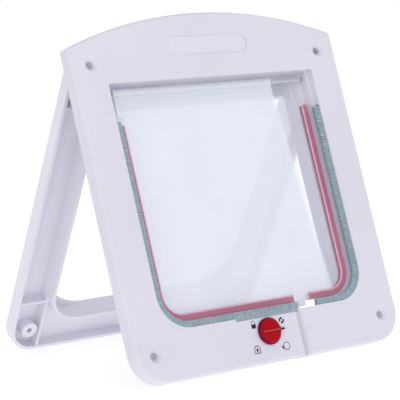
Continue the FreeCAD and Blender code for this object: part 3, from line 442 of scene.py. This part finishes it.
def make_brush(name, node, side, top, end, seed):
    chance = random.Random(seed)
    form = bmesh.new()
    section = [(0.0, CHANNEL_FRONT), (0.0, CHANNEL_BACK), (-BACKING, CHANNEL_BACK), (-BACKING, CHANNEL_FRONT)]
    sweep(form, channel_path(0.0, top, end, side, BAR_STEP), section)
    row_gap = (CHANNEL_BACK - CHANNEL_FRONT) / TUFT_ROWS
    deep = -OUT * MM
    for x, v, across, down in channel_path(BACKING, top, end, side, TUFT_STEP):
        along = (RIGHT * -down + UP * across) * MM
        for row in range(TUFT_ROWS):
            n = CHANNEL_FRONT + row_gap * (row + 0.5) + chance.uniform(-ROOT_STRAY, ROOT_STRAY)
            slide = chance.uniform(-SLIDE_STRAY, SLIDE_STRAY)
            length = PILE + chance.uniform(-SHORTEST_BY, 0.0)
            lean = chance.uniform(-LEAN_STRAY, LEAN_STRAY)
            tip_n = n + chance.uniform(-TIP_STRAY, TIP_STRAY)
            root = at(x + across * TUFT_SUNK, n, v + down * TUFT_SUNK) + along * slide
            tip = at(x - across * length, tip_n, v - down * length) + along * (slide + lean)
            join_rings(form, [tuft_ring(form, root, TUFT_WIDE, along, deep),
                              tuft_ring(form, tip, TUFT_TIP, along, deep)])
    brush = new_piece(name, form, TEAL, "root")
    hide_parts(node)


make_brush("brush_pile_long", "brush_strip_long", -1, 152.0, 23.5, 3)
make_brush("brush_pile_short", "brush_strip_short", 1, 151.0, 38.9, 4)

# Painted highlight: a pale pink bead along the inner edge of the flap's crimson strip, its light colour
# standing in for the light caught by the strip's inner edge
STRIP_INNER_HALF, STRIP_INNER_LOW, STRIP_INNER_ROUND = 67.2, 37.3, 11.7
STRIP_FRONT = 6.7
BEAD_RADIUS = 0.6
BEAD_SIDES = 8
BEAD_OUTWARD, BEAD_SUNK = 0.3, 0.1


def make_highlight_bead(name, side, top, end):
    section = []
    for i in range(BEAD_SIDES):
        angle = 2 * math.pi * (i + 0.5) / BEAD_SIDES
        section.append((BEAD_OUTWARD + BEAD_RADIUS * math.cos(angle),
                        STRIP_FRONT + BEAD_SUNK + BEAD_RADIUS * math.sin(angle)))
    path = band_path(STRIP_INNER_HALF, STRIP_INNER_LOW, STRIP_INNER_ROUND, top, end, side, BAR_STEP)
    form = bmesh.new()
    sweep(form, path, section)
    new_piece(name, form, PINK_PAINTED_HIGHLIGHT, "flap", smooth=True)


make_highlight_bead("edge_highlight_bead_long", -1, 151.0, 25.7)
make_highlight_bead("edge_highlight_bead_short", 1, 154.0, 38.0)

# Printed signs round the knob, as thin raised ink; lines on the knob are made the same way, and the one on
# its crest is a painted highlight
INK_HEIGHT, INK_SUNK = 0.05, 0.02

# Levels of the knob's pointer and crest, in front of the frame's face
POINTER_LEVEL, CREST_LEVEL = -1.4, -3.9


def arc_loop(x, v, radius, wide, start, finish, count=16):
    """A closed stroke along an arc, from start to finish in degrees."""
    outer = []
    inner = []
    for i in range(count + 1):
        angle = math.radians(start + (finish - start) * i / count)
        outer.append((x + (radius + wide / 2) * math.cos(angle), v + (radius + wide / 2) * math.sin(angle)))
        inner.append((x + (radius - wide / 2) * math.cos(angle), v + (radius - wide / 2) * math.sin(angle)))
    return outer + inner[::-1]


def bar_loop(x0, v0, x1, v1, wide):
    """A closed stroke along a straight line."""
    length = math.hypot(x1 - x0, v1 - v0)
    over, up = -(v1 - v0) / length * wide / 2, (x1 - x0) / length * wide / 2
    return [(x0 + over, v0 + up), (x1 + over, v1 + up), (x1 - over, v1 - up), (x0 - over, v0 - up)]


def print_or_highlight_mark(name, loops, ink_or_highlight=INK, body="root", level=0.0):
    """Ink, or a painted highlight, on a face whose n is level; each loop is one closed stroke of (x, v)."""
    form = bmesh.new()
    for loop in loops:
        area = sum(a[0] * b[1] - b[0] * a[1] for a, b in zip(loop, loop[1:] + loop[:1]))
        if area < 0:
            loop = loop[::-1]
        front = [form.verts.new(at(x, level - INK_HEIGHT, v)) for x, v in loop]
        back = [form.verts.new(at(x, level + INK_SUNK, v)) for x, v in loop]
        join_rings(form, [back, front])
    bmesh.ops.triangulate(form, faces=form.faces)
    new_piece(name, form, ink_or_highlight, body)


def print_locked_sign(x, v):
    """A padlock: its body has cut lower corners, and its shackle is a grey stroke."""
    half, top, foot = 1.6, v + 0.6, v - 1.9
    cut_x, cut_v = 0.5, 0.6
    print_or_highlight_mark("sign_locked_body", [[
        (x - half + cut_x, foot), (x + half - cut_x, foot), (x + half, foot + cut_v),
        (x + half, top), (x - half, top), (x - half, foot + cut_v)]])
    radius, stroke, overlap = 1.15, 0.6, 0.1
    spring = v + 1.4
    legs = [bar_loop(x + side * radius, top - overlap, x + side * radius, spring + overlap, stroke)
            for side in (-1, 1)]
    print_or_highlight_mark("sign_locked_shackle", [arc_loop(x, spring, radius, stroke, 0, 180), *legs], GREY_INK)


def print_open_sign(x, v):
    """Two arcs that face each other."""
    radius, stroke, start, finish = 1.3, 1.1, 64, 206
    arcs = [arc_loop(x, v, radius, stroke, start + turn, finish + turn) for turn in (0, -180)]
    print_or_highlight_mark("sign_open", arcs)


def print_in_sign(x, v):
    """The outline of an arched door, and in it an arrow that points up."""
    half, stroke = 1.95, 0.8
    foot, spring = v - 2.2, v + 0.25
    sides = [bar_loop(x + side * half, foot, x + side * half, spring, stroke) for side in (-1, 1)]
    sill = bar_loop(x - half, foot, x + half, foot, stroke)
    print_or_highlight_mark("sign_in_door", [arc_loop(x, spring, half, stroke, 0, 180), *sides, sill], GREY_INK)
    head_half, neck, tip = 1.0, v - 0.6, v + 1.1
    shaft = bar_loop(x, v - 1.5, x, v, stroke)
    head = [(x - head_half, neck), (x + head_half, neck), (x, tip)]
    print_or_highlight_mark("sign_in_arrow", [shaft, head])


def print_out_sign(x, v):
    """A ring, and an arrow head that points away from it to the left."""
    radius, stroke = 2.25, 0.7
    print_or_highlight_mark("sign_out_ring", [arc_loop(x, v, radius, stroke, start, start + 180) for start in (0, 180)],
               GREY_INK)
    neck, tip = x - 2.2, x - 3.9
    print_or_highlight_mark("sign_out_arrow", [[(neck, v - 1.9), (neck, v + 1.0), (tip, v - 0.4)]])


def print_or_highlight_knob_line(name, start, end, wide, ink_or_highlight, level):
    """A straight line across the knob, from start to end to the right of its axis."""
    line = bar_loop(KNOB_X + start, KNOB_V, KNOB_X + end, KNOB_V, wide)
    print_or_highlight_mark(name, [line], ink_or_highlight, "knob", level)


print_locked_sign(-13.5, 23.2)
print_open_sign(7.5, 23.3)
print_in_sign(-14.6, 8.9)
print_out_sign(7.2, 7.9)
print_or_highlight_knob_line("pointer_print", 8.0, 11.0, 1.0, DEEP_RED, POINTER_LEVEL)
# Painted highlight: a thin lighter red line along the crest of the knob's grip
print_or_highlight_knob_line("crest_painted_highlight", -6.9, 6.4, 0.4, CREST_PAINTED_HIGHLIGHT, CREST_LEVEL)

# Floor, lights and the white surroundings
FLOOR_HALF, FLOOR_BELOW = 6.0, 0.0002
FLOOR_COLOUR = (0.60, 0.60, 0.61, 1.0)
FLOOR_GLOW = 0.6
ROOM_COLOUR, ROOM_LIGHT = (0.97, 0.98, 1.0, 1.0), 0.72
PLAIN_WHITE = (1.0, 1.0, 1.0, 1.0)


def make_floor():
    mesh = bpy.data.meshes.new("floor")
    corners = [(x * FLOOR_HALF, y * FLOOR_HALF, 0) for x, y in ((-1, -1), (1, -1), (1, 1), (-1, 1))]
    mesh.from_pydata(corners, [], [(0, 1, 2, 3)])
    floor = bpy.data.objects.new("floor", mesh)
    floor.location.z = CAD_BOX[0].z - FLOOR_BELOW
    bpy.context.collection.objects.link(floor)
    material, _, shader = new_material("floor")
    shader.inputs["Base Color"].default_value = FLOOR_COLOUR
    shader.inputs["Roughness"].default_value = 0.9
    shader.inputs["Specular IOR Level"].default_value = 0.1
    shader.inputs["Emission Color"].default_value = PLAIN_WHITE
    shader.inputs["Emission Strength"].default_value = FLOOR_GLOW
    mesh.materials.append(material)


def add_background(tree, colour, strength):
    node = tree.nodes.new("ShaderNodeBackground")
    node.inputs["Color"].default_value = colour
    node.inputs["Strength"].default_value = strength
    return node.outputs[0]


def make_surroundings():
    """White where the camera sees it, directly or through the part, and soft room light elsewhere."""
    world = bpy.data.worlds.new("surroundings")
    bpy.context.scene.world = world
    world.use_nodes = True
    tree = world.node_tree
    tree.nodes.clear()
    paths = tree.nodes.new("ShaderNodeLightPath")
    seen = tree.nodes.new("ShaderNodeMath")
    seen.operation = "MAXIMUM"
    tree.links.new(paths.outputs["Is Camera Ray"], seen.inputs[0])
    tree.links.new(paths.outputs["Is Transmission Ray"], seen.inputs[1])
    mix = tree.nodes.new("ShaderNodeMixShader")
    output = tree.nodes.new("ShaderNodeOutputWorld")
    tree.links.new(seen.outputs[0], mix.inputs["Fac"])
    tree.links.new(add_background(tree, ROOM_COLOUR, ROOM_LIGHT), mix.inputs[1])
    tree.links.new(add_background(tree, PLAIN_WHITE, 1.0), mix.inputs[2])
    tree.links.new(mix.outputs[0], output.inputs["Surface"])


def add_softbox(name, place, aim, size, power):
    light = bpy.data.lights.new(name, "AREA")
    light.shape = "SQUARE"
    light.size = size
    light.energy = power
    lamp = bpy.data.objects.new(name, light)
    lamp.location = place
    lamp.rotation_mode = "QUATERNION"
    lamp.rotation_quaternion = (Vector(aim) - Vector(place)).to_track_quat("-Z", "Y")
    bpy.context.collection.objects.link(lamp)


make_camera()
make_floor()
make_surroundings()
add_softbox("key", place=(-0.4, -1.3, 1.4), aim=(0, 0, 0.1), size=1.2, power=3.4)
add_softbox("fill", place=(1.3, -0.6, 0.9), aim=(0, 0, 0.1), size=1.4, power=1.0)
add_softbox("low", place=(-0.7, -1.0, 0.1), aim=(0, 0.05, 0.08), size=0.7, power=2.0)
bpy.context.scene.view_settings.view_transform = "Standard"
